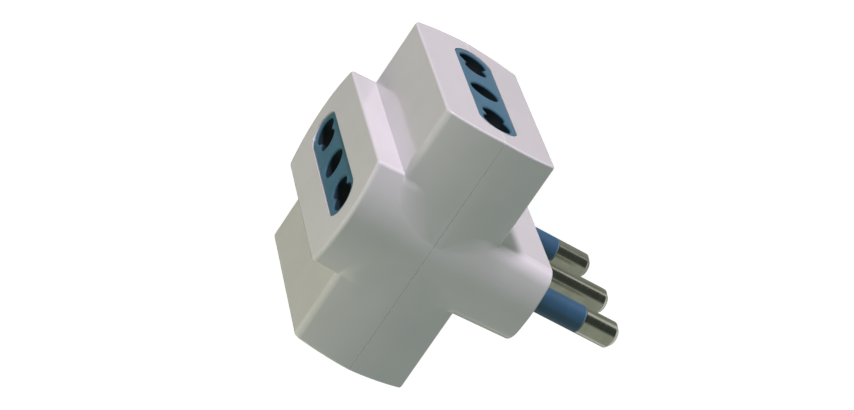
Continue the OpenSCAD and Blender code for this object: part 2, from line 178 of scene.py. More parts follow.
class NodeTree:
    """A node tree under construction."""

    def __init__(self, tree: bpy.types.NodeTree) -> None:
        """Keep the tree."""
        self.tree = tree

    def add(
        self,
        kind: str,
        settings: Optional[dict[str, Any]] = None,
        inputs: Optional[dict[Union[str, int], Any]] = None,
    ) -> bpy.types.Node:
        """Add a node, set it up and feed its sockets.

        Args:
            kind: Blender's type name of the node.
            settings: Attributes of the node, which are set first.
            inputs: Values, signals or sockets by input name or number.

        Returns:
            The new node.
        """
        node = self.tree.nodes.new(kind)
        for name, value in (settings or {}).items():
            setattr(node, name, value)
        for key, value in (inputs or {}).items():
            self.feed(node.inputs[key], value)
        return node

    def feed(self, target: bpy.types.NodeSocket, value: Any) -> None:
        """Link or set one input socket.

        Args:
            target: Input socket.
            value: A signal, a socket, a number or a colour.
        """
        if isinstance(value, Signal):
            self.tree.links.new(value.socket, target)
        elif isinstance(value, bpy.types.NodeSocket):
            self.tree.links.new(value, target)
        elif isinstance(value, tuple) and len(value) == 3 and target.type == "RGBA":
            target.default_value = (*value, 1.0)
        else:
            target.default_value = value


class Graph(NodeTree):
    """A shader node tree."""

    def __init__(self, tree: bpy.types.NodeTree) -> None:
        """Empty the tree and keep it.

        Args:
            tree: Node tree of a material or of the world.
        """
        super().__init__(tree)
        tree.nodes.clear()

    def place(self) -> bpy.types.NodeSocket:
        """Return the object coordinates, in metres."""
        return self.add("ShaderNodeTexCoord").outputs["Object"]

    def axes(self) -> tuple[Signal, Signal, Signal]:
        """Return the object coordinates along X, Y and Z, in metres."""
        parts = self.add("ShaderNodeSeparateXYZ", {}, {0: self.place()})
        return tuple(Signal(self, output) for output in parts.outputs)

    def noise(self, size: float, detail: float = 2.0, stretch: Point = (1.0, 1.0, 1.0)) -> Signal:
        """Return cloudy noise of a given grain.

        Args:
            size: Size of the grain in millimetres.
            detail: Number of finer layers.
            stretch: Factor on the frequency along each axis.

        Returns:
            A signal round 0.5.
        """
        scaled = self.add(
            "ShaderNodeMapping", {}, {"Vector": self.place(), "Scale": Vector(stretch)}
        )
        node = self.add(
            "ShaderNodeTexNoise",
            {},
            {"Vector": scaled.outputs[0], "Scale": 1.0 / (size * MM), "Detail": detail},
        )
        return Signal(self, node.outputs[0])

    def blend(self, mask: Signal, low: Any, high: Any) -> bpy.types.NodeSocket:
        """Return a colour between two others.

        Args:
            mask: 0 gives low and 1 gives high.
            low: First colour, or the socket that carries it.
            high: Second colour, or the socket that carries it.

        Returns:
            The colour socket.
        """
        node = self.add("ShaderNodeMix", {"data_type": "RGBA"}, {0: mask, 6: low, 7: high})
        return node.outputs[2]

    def bump(self, height: Signal, depth: float, strength: float) -> bpy.types.NodeSocket:
        """Return a normal that follows a height.

        Args:
            height: Height from 0 to 1.
            depth: Height of 1 in millimetres.
            strength: Share of the effect.

        Returns:
            The normal socket.
        """
        node = self.add(
            "ShaderNodeBump", {}, {"Height": height, "Distance": depth * MM, "Strength": strength}
        )
        return node.outputs[0]


@dataclass(frozen=True)
class MouldedPlastic:
    """Injection-moulded plastic with a faint cloudiness and a fine moulded grain."""

    name: str
    colour: Colour
    cloud: Colour
    roughness: float
    cloud_size: float = 9.0
    cloud_band: Pair = (0.3, 0.7)
    cloud_swing: float = 0.1
    grain_size: float = 0.35
    grain_depth: float = 0.004
    grain_strength: float = 0.35
    coat: float = 0.0
    coat_roughness: float = 0.13
    gloss: float = 0.5
    ior: float = 1.49

    def tint(self, graph: Graph, clouds: Signal) -> bpy.types.NodeSocket:
        """Return the colour over the surface."""
        return graph.blend(clouds.ramp(*self.cloud_band), self.colour, self.cloud)

    def make(self) -> bpy.types.Material:
        """Build the material.

        Returns:
            The material.
        """
        material = bpy.data.materials.new(self.name)
        material.use_nodes = True
        graph = Graph(material.node_tree)
        clouds = graph.noise(self.cloud_size, 3.0)
        grain = graph.noise(self.grain_size, 2.0)
        surface = graph.add(
            "ShaderNodeBsdfPrincipled",
            {},
            {
                "Base Color": self.tint(graph, clouds),
                "Roughness": self.roughness + (clouds - 0.5) * self.cloud_swing,
                "IOR": self.ior,
                "Specular IOR Level": self.gloss,
                "Coat Weight": self.coat,
                "Coat Roughness": self.coat_roughness,
                "Normal": graph.bump(grain, self.grain_depth, self.grain_strength),
            },
        )
        graph.add("ShaderNodeOutputMaterial", {}, {"Surface": surface.outputs[0]})
        return material


@dataclass(frozen=True)
class SocketPlastic(MouldedPlastic):
    """Moulded plastic of a socket insert, with painted shade down in its wells.

    front_face and side_face give the places of the socket faces, along -Y and along X,
    and rim, throat and pit the depths at which the painted shade starts and deepens, in millimetres.
    """

    front_face: float = 37.5
    side_face: float = 24.3
    rim: float = 0.22
    throat: float = 0.7
    pit: float = 3.5
    painted_wall_shade: Colour = (0.014, 0.032, 0.042)
    painted_pit_shade: Colour = (0.090, 0.075, 0.068)

    def tint(self, graph: Graph, clouds: Signal) -> bpy.types.NodeSocket:
        """Return the colour, with painted shade that deepens with the depth below the nearest socket face.

        Args:
            graph: Graph of the material.
            clouds: Cloudy noise.

        Returns:
            The colour socket.
        """
        x, y, _ = graph.axes()
        depth = (y + self.front_face * MM).lower(self.side_face * MM - x.size())
        face = super().tint(graph, clouds)
        # Painted shade: the wells' walls and pits darken with depth in place of the shade down in them
        shaded_walls = graph.blend(depth.ramp(self.rim * MM, self.throat * MM), face, self.painted_wall_shade)
        return graph.blend(depth.ramp(self.throat * MM, self.pit * MM), shaded_walls, self.painted_pit_shade)


@dataclass(frozen=True)
class SleevePlastic(MouldedPlastic):
    """Moulded plastic of a pin's sleeve, paler at its end: a whitened moulded edge with a painted highlight
    on it.

    edge_start and edge_full give where the paler edge begins and where it is full, in
    millimetres from the plug's face.
    """

    edge_start: float = 11.25
    edge_full: float = 11.5
    edge_and_highlight_colour: Colour = (0.20, 0.34, 0.42)

    def tint(self, graph: Graph, clouds: Signal) -> bpy.types.NodeSocket:
        """Return the colour, which pales towards the sleeve's end, partly a whitened edge and partly a
        painted highlight.

        Args:
            graph: Graph of the material.
            clouds: Cloudy noise.

        Returns:
            The colour socket.
        """
        _, y, _ = graph.axes()
        # Painted highlight, partly a whitened edge: the pale band at the sleeve's end
        edge = y.ramp(self.edge_start * MM, self.edge_full * MM)
        return graph.blend(edge, super().tint(graph, clouds), self.edge_and_highlight_colour)


@dataclass(frozen=True)
class PlatedMetal:
    """Metal with turning or rolling marks, fine scuffs and a slightly uneven tone."""

    name: str
    colour: Colour
    tone: Colour
    roughness: float
    tone_size: float = 2.5
    tone_band: Pair = (0.35, 0.7)
    mark_pitch: float = 0.25
    mark_depth: float = 0.002
    mark_strength: float = 0.4
    mark_swing: float = 0.12
    scuff_size: float = 0.6
    scuff_swing: float = 0.08
    along: Point = (0.04, 1.0, 0.04)

    def make(self) -> bpy.types.Material:
        """Build the material.

        Returns:
            The material.
        """
        material = bpy.data.materials.new(self.name)
        material.use_nodes = True
        graph = Graph(material.node_tree)
        clouds = graph.noise(self.tone_size, 3.0)
        marks = graph.noise(self.mark_pitch, 2.0, self.along)
        scuffs = graph.noise(self.scuff_size, 4.0)
        uneven = (marks - 0.5) * self.mark_swing + (scuffs - 0.5) * self.scuff_swing
        surface = graph.add(
            "ShaderNodeBsdfPrincipled",
            {},
            {
                "Base Color": graph.blend(clouds.ramp(*self.tone_band), self.colour, self.tone),
                "Metallic": 1.0,
                "Roughness": self.roughness + uneven,
                "Normal": graph.bump(marks, self.mark_depth, self.mark_strength),
            },
        )
        graph.add("ShaderNodeOutputMaterial", {}, {"Surface": surface.outputs[0]})
        return material


HOUSING_PLASTIC = MouldedPlastic(
    "white_housing_plastic", (0.82, 0.81, 0.82), (0.785, 0.78, 0.785), 0.24, coat=0.9
)
CARRIER_PLASTIC = MouldedPlastic(
    "plain_carrier_plastic", (0.72, 0.72, 0.70), (0.68, 0.68, 0.66), 0.5
)
INSERT_PLASTIC = SocketPlastic(
    "blue_insert_plastic", (0.070, 0.182, 0.265), (0.062, 0.165, 0.240), 0.3, cloud_size=4.0, gloss=0.3
)
SLEEVE_PLASTIC = SleevePlastic(
    "blue_sleeve_plastic", (0.038, 0.116, 0.205), (0.032, 0.101, 0.178), 0.42, cloud_size=4.0
)
NICKEL = PlatedMetal("nickel_plate", (0.66, 0.65, 0.59), (0.58, 0.575, 0.515), 0.2)
STRIP_BRASS = PlatedMetal(
    "strip_brass", (0.78, 0.58, 0.27), (0.70, 0.50, 0.22), 0.32, along=(1.0, 0.05, 1.0)
)
ZINC = PlatedMetal("zinc_plate", (0.58, 0.59, 0.60), (0.50, 0.51, 0.52), 0.34)


# Meshes


def new_object(name: str, mesh: bpy.types.Mesh) -> bpy.types.Object:
    """Return a new object of the scene.

    Args:
        name: Name of the object.
        mesh: Its mesh.

    Returns:
        The object, at the origin.
    """
    made = bpy.data.objects.new(name, mesh)
    bpy.context.scene.collection.objects.link(made)
    return made


def mesh_object(name: str, work: bmesh.types.BMesh) -> bpy.types.Object:
    """Turn a working mesh into an object with faces that point outwards.

    Args:
        name: Name of the object.
        work: Working mesh, which is freed.

    Returns:
        The object.
    """
    bmesh.ops.remove_doubles(work, verts=work.verts, dist=MERGE_DISTANCE)
    bmesh.ops.recalc_face_normals(work, faces=work.faces)
    mesh = bpy.data.meshes.new(name)
    work.to_mesh(mesh)
    work.free()
    return new_object(name, mesh)


def loft(name: str, rings: Sequence[Sequence[Point]]) -> bpy.types.Object:
    """Build a closed solid through a row of rings.

    Args:
        name: Name of the object.
        rings: Outlines with the same number of points.

    Returns:
        The solid, with a flat face on its first and last ring.
    """
    work = bmesh.new()
    made = [[work.verts.new(point) for point in ring] for ring in rings]
    count = len(made[0])
    for low, high in zip(made, made[1:]):
        for i in range(count):
            j = (i + 1) % count
            work.faces.new((low[i], low[j], high[j], high[i]))
    work.faces.new(made[0])
    work.faces.new(list(reversed(made[-1])))
    return mesh_object(name, work)


def lathe(name: str, profile: Sequence[Pair], segments: int = 96) -> bpy.types.Object:
    """Turn a closed profile round the Y axis.

    Args:
        name: Name of the object.
        profile: Radius and height of each corner. A solid starts and ends on the axis, and
            a tube's profile returns to its start.
        segments: Number of steps round the axis.

    Returns:
        The turned solid.
    """
    work = bmesh.new()
    steps = [2 * math.pi * i / segments for i in range(segments)]
    rings: list[list[bmesh.types.BMVert]] = []
    for radius, height in profile:
        if radius < ON_AXIS:
            rings.append([work.verts.new((0.0, height, 0.0))])
        else:
            rings.append(
                [work.verts.new((radius * math.sin(a), height, radius * math.cos(a))) for a in steps]
            )
    for low, high in zip(rings, rings[1:]):
        for i in range(segments):
            j = (i + 1) % segments
            corners = [low[i % len(low)], low[j % len(low)], high[j % len(high)], high[i % len(high)]]
            unique = list(dict.fromkeys(corners))
            if len(unique) > 2:
                work.faces.new(unique)
    return mesh_object(name, work)


def combine(base: bpy.types.Object, tools: Iterable[bpy.types.Object], cut: Cut) -> bpy.types.Object:
    """Join solids to a base or remove them from it.

    Args:
        base: Solid that is changed.
        tools: Solids that are used up.
        cut: What is done with them.

    Returns:
        The base.
    """
    for tool in tools:
        step = base.modifiers.new(cut.name, "BOOLEAN")
        step.operation = cut.value
        step.solver = "MANIFOLD"
        step.object = tool
        bake(base)
        bpy.data.objects.remove(tool)
    return base


def bake(piece: bpy.types.Object) -> None:
    """Apply every modifier of a piece to its mesh.

    Args:
        piece: Piece that gets the plain mesh.
    """
    graph = bpy.context.evaluated_depsgraph_get()
    graph.update()
    mesh = bpy.data.meshes.new_from_object(piece.evaluated_get(graph), depsgraph=graph)
    piece.modifiers.clear()
    piece.data = mesh


def finish_piece(
    piece: bpy.types.Object,
    material: bpy.types.Material,
    nodes: Sequence[str],
    sharp: float = 7.5,
) -> bpy.types.Object:
    """Turn a piece into metres, shade and dress it, and seat it on the frame.

    Args:
        piece: Piece in millimetres, in the frame's axes.
        material: Its material.
        nodes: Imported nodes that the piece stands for.
        sharp: Edges that bend by more degrees than this stay sharp.

    Returns:
        The piece.
    """
    piece.data.transform(Matrix.Scale(MM, 4))
    for polygon in piece.data.polygons:
        polygon.use_smooth = True
    piece.data.set_sharp_from_angle(angle=math.radians(sharp))
    piece.data.materials.clear()
    piece.data.materials.append(material)
    even = piece.modifiers.new("even_normals", "WEIGHTED_NORMAL")
    even.keep_sharp = True
    even.weight = FACE_WEIGHT
    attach(piece, BODY)
    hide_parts(*nodes)
    log.info("%s stands for %s, %d faces", piece.name, ", ".join(nodes), len(piece.data.polygons))
    return piece


# Sub-assemblies


def smooth(share: float) -> float:
    """Return a share held between 0 and 1 and eased at both ends."""
    held = min(1.0, max(0.0, share))
    return held * held * (3 - 2 * held)


@dataclass
class Housing:
    """Cross-shaped housing: two covers that meet at the seam.

    A soft valley fills the crease between two crowns. valley_share is its width as a share of
    the crowns' depth there, valley_fade the stretch over which it grows and dies away,
    valley_close how far it closes at the arms' edge, valley_side the share of the width over
    which it runs out at the sides, and valley_skin how deep it lies under the bare crowns.
    """

    arm_span: float = 48.6
    front_depth: float = 10.9
    rear_depth: float = 10.6
    crest_height: float = 42.7
    crest_step: float = 0.15
    arm_crown_r: float = 28.0
    block_width: float = 21.0
    block_proud: float = 4.9
    block_crown_r: float = 22.5
    neck_width: float = 14.8
    neck_length: float = 11.1
    neck_crown_r: float = 21.0
    neck_corner_r: float = 3.4
    draft: float = 2.0
    wall: float = 1.8
    arm_edge_r: float = 1.1
    end_edge_r: float = 0.4
    rear_edge_r: float = 0.4
    face_edge_r: float = 0.8
    seam_bevel: float = 0.1
    lip_height: float = 1.2
    insert_width: float = 7.4
    flange_depth: float = 3.578
    fit: float = 0.1
    plug_wall: float = 2.6
    pin_r: float = 2.5
    pin_pitch: float = 13.0
    tower_r: float = 2.0
    pilot_r: float = 0.85
    screw_x: float = 11.0
    screw_z: float = 5.05
    screw_seat: float = -12.7
    screw_reach: float = 17.0
    shank_hole_r: float = 1.2
    head_hole_r: float = 2.3
    rib_t: float = 1.6
    rib_gap: float = 1.0
    rib_overlap: float = 0.1
    tongue_gap: float = 4.0
    tongue_root: float = 1.0
    pad_x: float = 11.2
    pad_r: float = 1.0
    bus_rear_y: float = -15.0
    hollow_gap: float = 1.0
    hollow_over: float = 0.5
    arc_steps: int = 16
    crown_steps: int = 28
    window_steps: int = 40
    valley_share: float = 0.5
    valley_start: float = 0.25
    valley_fade: float = 3.0
    valley_close: float = 0.65
    valley_side: float = 0.15
    valley_skin: float = 0.012
    valley_reach: float = 0.999
    valley_foot: float = 2.4
    valley_steps: int = 56

    @property
    def seam_y(self) -> float:
        """Place of the seam along Y."""
        return -self.neck_length - self.rear_depth

    @property
    def front_y(self) -> float:
        """Place of the front socket's face along Y."""
        return self.seam_y - self.front_depth - self.block_proud

    @property
    def arm_crest(self) -> float:
        """Height of the arms' crest above the middle plane."""
        return self.crest_height / 2 - self.crest_step

    @property
    def tongue_end(self) -> float:
        """Painted tones of the floor that reflections show in place of the lit floor: painted shade behind
        and in front of the object, a painted shadow under it and a paler floor beyond.
        """
        return self.screw_x - self.tower_r - self.tongue_gap

    @property
    def rib_end(self) -> float:
        """Place along X where the ribs end, short of a side insert's flange."""
        return self.arm_span / 2 - self.flange_depth - self.fit

    @staticmethod
    def _edge_cut(t: float, length: float, radius: float) -> float:
        """Return what a rounded edge takes off.

        Args:
            t: Distance from the seam.
            length: Distance at which the edge ends.
            radius: Radius of the edge.

        Returns:
            The distance to the unrounded surface.
        """
        over = t - length + radius
        return radius - math.sqrt(max(0.0, radius * radius - over * over)) if over > 0 else 0.0

    def _edge_stations(self, length: float, radii: Sequence[float]) -> list[float]:
        """Return the distances from the seam that follow rounded edges."""
        arc = [math.pi / 2 * i / self.arc_steps for i in range(self.arc_steps + 1)]
        return sorted({round(length - r * (1 - math.sin(a)), 6) for r in radii for a in arc})

    def _ring(self, y: float, half_x: float, half_z: float, radius: float) -> list[Point]:
        """Return a rounded rectangle across Y.

        Args:
            y: Place along Y.
            half_x: Half its length.
            half_z: Half its height.
            radius: Radius of its corners.

        Returns:
            The outline.
        """
        outline = []
        for corner, (sx, sz) in enumerate(((1, 1), (-1, 1), (-1, -1), (1, -1))):
            for i in range(self.arc_steps + 1):
                a = math.radians(90 * corner + 90 * i / self.arc_steps)
                outline.append(
                    (
                        sx * (half_x - radius) + radius * math.cos(a),
                        y,
                        sz * (half_z - radius) + radius * math.sin(a),
                    )
                )
        return outline

    @staticmethod
    def _crown_touch(half_x: float, crown: float, radius: float) -> float:
        """Return the place along X where a crown passes into its round corner.

        Args:
            half_x: Half the outline's width.
            crown: Radius of the crown.
            radius: Radius of the corner.

        Returns:
            The distance from the middle.
        """
        touch = half_x - radius
        for _ in range(20):
            touch = half_x - radius + radius * math.sin(math.atan(touch / crown))
        return touch

    def _crown_drop(self, x: float, half_x: float, crown: float, radius: float) -> float:
        """Return how far a crowned outline lies below its crest.

        Args:
            x: Place along X.
            half_x: Half the outline's width.
            crown: Radius of the crown.
            radius: Radius of the corner.

        Returns:
            The depth below the crest.
        """
        touch = self._crown_touch(half_x, crown, radius)
        if abs(x) <= touch:
            return x * x / (2 * crown)
        over = abs(x) - half_x + radius
        corner = radius * math.cos(math.atan(touch / crown)) - math.sqrt(max(0.0, radius**2 - over**2))
        return touch * touch / (2 * crown) + corner

    def _valley(self, side: Towards, depth: float, up: int) -> bpy.types.Object:
        """Build the soft valley between the arms' crown and that of the block or neck.

        Args:
            side: Side of the seam.
            depth: Depth of the arms from the seam.
            up: 1 at the upper broad face and -1 at the lower one.

        Returns:
            A solid that stands proud of the two crowns only along their crease.
        """
        block = side is Towards.SOCKET
        width = self.block_width if block else self.neck_width
        crown = self.block_crown_r if block else self.neck_crown_r
        corner = self.face_edge_r if block else self.neck_corner_r
        end = abs((self.front_y if block else 0.0) - self.seam_y)
        slope = math.tan(math.radians(self.draft))
        edge_r = self.arm_edge_r if block else self.rear_edge_r
        span = depth - edge_r - self.valley_start
        crown_part = [self.valley_start + span * j / self.crown_steps for j in range(self.crown_steps)]
        rings = []
        for t in [*crown_part, *self._edge_stations(depth, (edge_r,))[:-1]]:
            half_x = width / 2 + (end - t) * slope
            opening = smooth(t / self.valley_fade)
            closing = self.valley_close * smooth((t - depth) / self.valley_fade + 1)
            share = self.valley_share * opening * (1 - closing) + TINY
            arm_drop = t * t / (2 * self.arm_crown_r) + self.crest_step + self._edge_cut(t, depth, edge_r)
            top = []
            for i in range(self.valley_steps + 1):
                place = 1 - 2 * i / self.valley_steps
                x = self.valley_reach * half_x * place
                limb_drop = self._crown_drop(x, half_x, crown, corner)
                band = share * (arm_drop + limb_drop)
                over = max(0.0, band - abs(arm_drop - limb_drop))
                rise = over * over / (4 * band) * smooth((1 - abs(place)) / self.valley_side)
                drop = min(arm_drop, limb_drop) - rise + self.valley_skin
                top.append((x, self.crest_height / 2 - drop))
            foot = self.crest_height / 2 - self.valley_foot * self.wall
            outline = [*top, (top[-1][0], foot), (top[0][0], foot)]
            rings.append([(x, self.seam_y + side.value * t, up * z) for x, z in outline])
        return loft("valley", rings)

    def _crowned(self, y: float, half_x: float, half_z: float, crown: float, radius: float) -> list[Point]:
        """Return an outline across Y with flat sides, crowned ends and round corners.

        Args:
            y: Place along Y.
            half_x: Half its width.
            half_z: Half its height at the crest.
            crown: Radius of the crown.
            radius: Radius of its corners.

        Returns:
            The outline.
        """
        touch = self._crown_touch(half_x, crown, radius)
        tilt = math.atan(touch / crown)
        centre_z = half_z - touch * touch / (2 * crown) - radius * math.cos(tilt)
        top = [
            (half_x - radius + radius * math.cos(a), centre_z + radius * math.sin(a))
            for a in (
                (math.pi / 2 - tilt) * i / self.arc_steps for i in range(self.arc_steps)
            )
        ]
        top += [
            (x, half_z - x * x / (2 * crown))
            for x in (
                touch * (1 - 2 * i / self.crown_steps) for i in range(self.crown_steps + 1)
            )
        ]
        top += [(-x, z) for x, z in reversed(top[: self.arc_steps])]
        return [(x, y, z) for x, z in top] + [(-x, y, -z) for x, z in top]

    def _arms(self, side: Towards, depth: float, inset: float) -> bpy.types.Object:
        """Build one half of the arms.

        Args:
            side: Side of the seam.
            depth: Depth from the seam.
            inset: Distance by which every face lies inwards.

        Returns:
            The solid.
        """
        length = depth - inset
        outer_r = self.arm_edge_r if side is Towards.SOCKET else self.rear_edge_r
        long_r = self.face_edge_r if inset else outer_r
        end_r = self.face_edge_r if inset else self.end_edge_r
        slope = math.tan(math.radians(self.draft))
        span = length - long_r - self.seam_bevel
        crown = [self.seam_bevel + span * i / self.crown_steps for i in range(self.crown_steps)]
        rings = []
        first = -self.hollow_over if inset else 0.0
        for t in [first, *crown, *self._edge_stations(length, (long_r, end_r))]:
            reach = max(t, 0.0)
            inwards = inset + (0.0 if inset or t > 0 else self.seam_bevel)
            rings.append(
                self._ring(
                    self.seam_y + side.value * t,
                    self.arm_span / 2 - inwards - self._edge_cut(t, length, end_r) - reach * slope,
                    self.arm_crest
                    - inwards
                    - self._edge_cut(t, length, long_r)
                    - reach * reach / (2 * self.arm_crown_r),
                    end_r,
                )
            )
        return loft("arms", rings)

    def _limb(self, side: Towards, inset: float) -> bpy.types.Object:
        """Build the front block, the neck or the hollow of one of them.

        Args:
            side: SOCKET gives the front block and PLUG the neck.
            inset: Distance by which every face lies inwards.

        Returns:
            The solid. A hollow starts behind the lip's rebate.
        """
        block = side is Towards.SOCKET
        width = self.block_width if block else self.neck_width
        crown = self.block_crown_r if block else self.neck_crown_r
        corner = self.face_edge_r if block else self.neck_corner_r
        crest_r = self.face_edge_r if block or inset else self.rear_edge_r
        side_r = self.face_edge_r if inset else (self.end_edge_r if block else self.rear_edge_r)
        end = abs((self.front_y if block else 0.0) - self.seam_y)
        length = end - (self.plug_wall if inset and not block else inset)
        slope = math.tan(math.radians(self.draft))
        starts = [self.lip_height + self.fit + self.hollow_gap] if inset else [0.0, self.seam_bevel]
        rings = []
        for t in [*starts, *self._edge_stations(length, (crest_r, side_r))]:
            inwards = inset + (0.0 if inset or t > 0 else self.seam_bevel)
            rings.append(
                self._crowned(
                    self.seam_y + side.value * t,
                    width / 2 + (end - t) * slope - inwards - self._edge_cut(t, length, side_r),
                    self.crest_height / 2 - inwards - self._edge_cut(t, length, crest_r),
                    crown,
                    corner,
                )
            )
        return loft("limb", rings)

    def _lip(self, inset: float, low: float, high: float) -> bpy.types.Object:
        """Return a filled outline of the arms, inset, between two places along Y."""
        half_x, half_z = self.arm_span / 2 - inset, self.arm_crest - inset
        return loft("lip", [self._ring(y, half_x, half_z, self.arm_edge_r) for y in (low, high)])

    def _rib(self, x: Pair, y: Pair, z: float) -> bpy.types.Object:
        """Build a flat rib across Z.

        Args:
            x: Places along X between which it lies.
            y: Places along Y between which it lies.
            z: Height of its middle.

        Returns:
            The solid.
        """
        bottom, top = z - self.rib_t / 2, z + self.rib_t / 2
        return loft(
            "rib",
            [
                [(x[0], level, bottom), (x[1], level, bottom), (x[1], level, top), (x[0], level, top)]
                for level in y
            ],
        )

    def _ribs(self, x: Pair, y: Pair) -> list[bpy.types.Object]:
        """Build the four insulating ribs of one cover.

        Args:
            x: Distances from the middle between which a rib lies.
            y: Places along Y between which it lies.

        Returns:
            The solids.
        """
        return [
            self._rib(x if i > 0 else (-x[1], -x[0]), y, k * self.screw_z)
            for i in (-1, 1)
            for k in (-1, 1)
        ]

    def _at_screws(self, radius: float, low: float, high: float) -> list[bpy.types.Object]:
        """Build a round solid at each screw.

        Args:
            radius: Its radius.
            low: Place of one end along Y.
            high: Place of the other end.

        Returns:
            The solids.
        """
        return [
            self._cylinder(i * self.screw_x, i * self.screw_z, radius, low, high) for i in (-1, 1)
        ]

    def _window(self, station: Station) -> bpy.types.Object:
        """Build the solid that cuts a socket's window.

        Args:
            station: Which socket.

        Returns:
            The cutter.
        """
        outline = stadium_outline(self.insert_width / 2 + self.fit, self.pin_pitch, self.window_steps)
        depths = (-OVER, self.wall + OVER)
        cutter = loft("window", [[(x, y, z) for x, z in outline] for y in depths])
        cutter.data.transform(socket_place(self, station))
        return cutter

    def _cylinder(self, x: float, z: float, radius: float, low: float, high: float) -> bpy.types.Object:
        """Build a round solid along Y.

        Args:
            x: Place of its axis along X.
            z: Place of its axis along Z.
            radius: Its radius.
            low: Place of one end along Y.
            high: Place of the other end.

        Returns:
            The solid.
        """
        cutter = lathe("cutter", [(0, low), (radius, low), (radius, high), (0, high)], HOLE_STEPS)
        cutter.data.transform(Matrix.Translation((x, 0, z)))
        return cutter

    def _shell(self, side: Towards, depth: float) -> bpy.types.Object:
        """Build one cover's outer form and hollow it out.

        Args:
            side: Side of the seam.
            depth: Depth of the arms from the seam.

        Returns:
            The hollow solid.
        """
        valleys = [self._valley(side, depth, up) for up in (-1, 1)]
        cover = combine(self._arms(side, depth, 0), [self._limb(side, 0), *valleys], Cut.JOIN)
        hollows = [self._arms(side, depth, self.wall), self._limb(side, self.wall)]
        return combine(cover, hollows, Cut.REMOVE)

    def front_cover(self) -> bpy.types.Object:
        """Build the cover with the front socket.

        Returns:
            The cover.
        """
        cover = self._shell(Towards.SOCKET, self.front_depth)
        top = self.seam_y + self.lip_height
        lip = self._lip((self.wall + self.fit) / 2, self.seam_y - OVER, top)
        combine(lip, [self._lip(self.wall, self.seam_y - 2 * OVER, top + OVER)], Cut.REMOVE)
        low, high = self.seam_y - self.front_depth + self.wall / 2, self.seam_y - self.fit
        ribs = self._ribs((self.tongue_end + self.rib_gap, self.rib_end), (low, high))
        combine(cover, [lip, *ribs, *self._at_screws(self.tower_r, low, high)], Cut.JOIN)
        pilots = self._at_screws(self.pilot_r, self.screw_seat - self.screw_reach, self.seam_y)
        combine(cover, [*(self._window(s) for s in Station), *pilots], Cut.REMOVE)
        cover.name = "front_cover"
        return cover

    def rear_cover(self) -> bpy.types.Object:
        """Build the cover with the neck and the plug's face.

        Returns:
            The cover.
        """
        cover = self._shell(Towards.PLUG, self.rear_depth)
        rebate_end = self.seam_y + self.lip_height + self.fit
        rebate = self._lip((self.wall - self.fit) / 2, self.seam_y - OVER, rebate_end)
        combine(cover, [rebate], Cut.REMOVE)
        low, high = self.seam_y + self.fit, -self.neck_length - self.wall / 2
        ribs = self._ribs((-self.rib_overlap, self.rib_end), (low, high))
        tongue_x = (-self.tongue_end, self.tongue_end)
        tongue_y = (self.front_y + self.flange_depth + self.fit, self.seam_y + self.tongue_root)
        tongues = [self._rib(tongue_x, tongue_y, k * self.screw_z) for k in (-1, 1)]
        pads = [
            self._cylinder(i * self.pad_x, k * self.pin_pitch, self.pad_r, self.bus_rear_y, high)
            for i in (-1, 1)
            for k in (-1, 0, 1)
        ]
        towers = self._at_screws(self.tower_r, low, high)
        combine(cover, [*ribs, *tongues, *pads, *towers], Cut.JOIN)
        pin_holes = [
            self._cylinder(0, k * self.pin_pitch, self.pin_r + self.fit / 2, -self.plug_wall - OVER, OVER)
            for k in (-1, 0, 1)
        ]
        shanks = self._at_screws(self.shank_hole_r, self.seam_y - OVER, -self.neck_length)
        heads = self._at_screws(self.head_hole_r, self.screw_seat, -self.neck_length + OVER)
        windows = [self._window(Station.LEFT), self._window(Station.RIGHT)]
        combine(cover, [*windows, *pin_holes, *shanks, *heads], Cut.REMOVE)
        cover.name = "rear_cover"
        return cover

    def build(self, material: bpy.types.Material) -> None:
        """Build and dress both covers."""
        finish_piece(self.front_cover(), material, ["front_shell"])
        finish_piece(self.rear_cover(), material, ["rear_shell"])


def stadium_outline(radius: float, pitch: float, steps: int) -> list[Pair]:
    """Return a slot with round ends in the XZ plane.

    Args:
        radius: Half its width.
        pitch: Distance from its middle to the centre of an end.
        steps: Number of steps round each end.

    Returns:
        The outline as X and Z.
    """
    outline = []
    for sign, first in ((1, 0.0), (-1, math.pi)):
        for i in range(steps + 1):
            a = first + math.pi * i / steps
            outline.append((radius * math.cos(a), sign * pitch + radius * math.sin(a)))
    return outline


def socket_place(housing: Housing, station: Station) -> Matrix:
    """Return the matrix from a socket's own frame to the housing's.

    Args:
        housing: Housing that holds the socket.
        station: Which socket.

    Returns:
        The matrix. In the socket's frame the face lies at Y 0 and depth runs along +Y.
    """
    if station is Station.FRONT:
        return Matrix.Translation((0, housing.front_y, 0))
    sign = 1 if station is Station.LEFT else -1
    turn = Matrix.Rotation(math.radians(90 * sign), 4, "Z")
    return Matrix.Translation((sign * housing.arm_span / 2, housing.seam_y, 0)) @ turn


